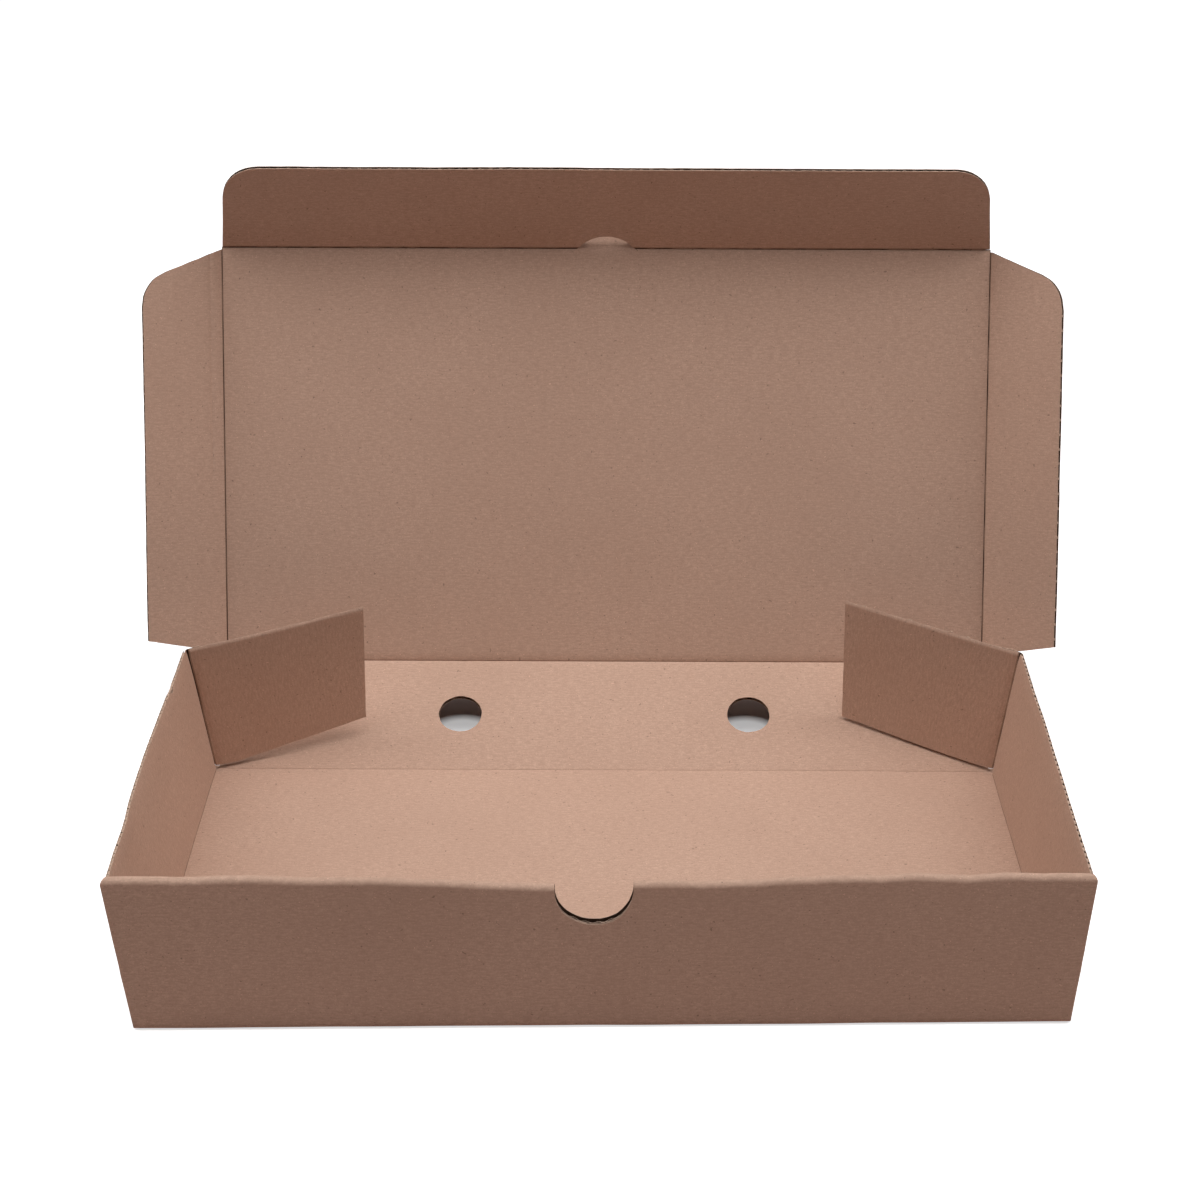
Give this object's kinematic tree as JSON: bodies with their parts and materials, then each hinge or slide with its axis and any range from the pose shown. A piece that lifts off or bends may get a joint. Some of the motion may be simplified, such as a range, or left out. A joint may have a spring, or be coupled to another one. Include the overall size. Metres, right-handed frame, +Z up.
{
  "type": "fish and chips box",
  "caption": "Open takeaway box of fine-flute board: flared tray with a rolled front, thumb notch, corner flaps and a leaning vented back wall, and a hinged lid with ears and a tuck flap.",
  "frame": {"origin": "centre of the floor's underside, on the table", "axes": "+X to the right along the front wall, +Y to the back wall and the lid's fold, +Z up"},
  "size_m": [0.3293, 0.2476, 0.1997],
  "materials": {
    "kraft_board": "matt unprinted brown kraft with fine fibres"
  },
  "bodies": {
    "tray": {"tray": "kraft_board"},
    "lid": {"lid": "kraft_board"},
    "tuck_flap": {"tuck_flap": "kraft_board"},
    "left_ear": {"left_ear": "kraft_board"},
    "right_ear": {"right_ear": "kraft_board"},
    "left_corner_flap": {"left_corner_flap": "kraft_board"},
    "right_corner_flap": {"right_corner_flap": "kraft_board"}
  },
  "joints": [
    {"name": "lid_fold", "type": "hinge", "parent": "tray", "child": "lid", "pos_m": [0, 0.11882, 0.02212], "axis": [1, 0, 0], "range_deg": [-44, 45]},
    {"name": "tuck_fold", "type": "hinge", "parent": "lid", "child": "tuck_flap", "pos_m": [0, 0.16868, 0.16518], "axis": [1, 0, 0], "range_deg": [-41, 49]},
    {"name": "left_ear_fold", "type": "hinge", "parent": "lid", "child": "left_ear", "pos_m": [-0.1395, 0.11811, 0.02237], "axis": [0, 0.3338, 0.9426], "range_deg": [-30, 60]},
    {"name": "right_ear_fold", "type": "hinge", "parent": "lid", "child": "right_ear", "pos_m": [0.1395, 0.11811, 0.02237], "axis": [0, -0.3338, -0.9426], "range_deg": [-41, 49]},
    {"name": "left_corner_fold", "type": "hinge", "parent": "tray", "child": "left_corner_flap", "pos_m": [-0.1385, 0.07405, 0.00083], "axis": [0.1045, 0, -0.9945], "range_deg": [-1, 90]},
    {"name": "right_corner_fold", "type": "hinge", "parent": "tray", "child": "right_corner_flap", "pos_m": [0.1385, 0.07405, 0.00083], "axis": [0.1045, 0, 0.9945], "range_deg": [-1, 95]}
  ]
}
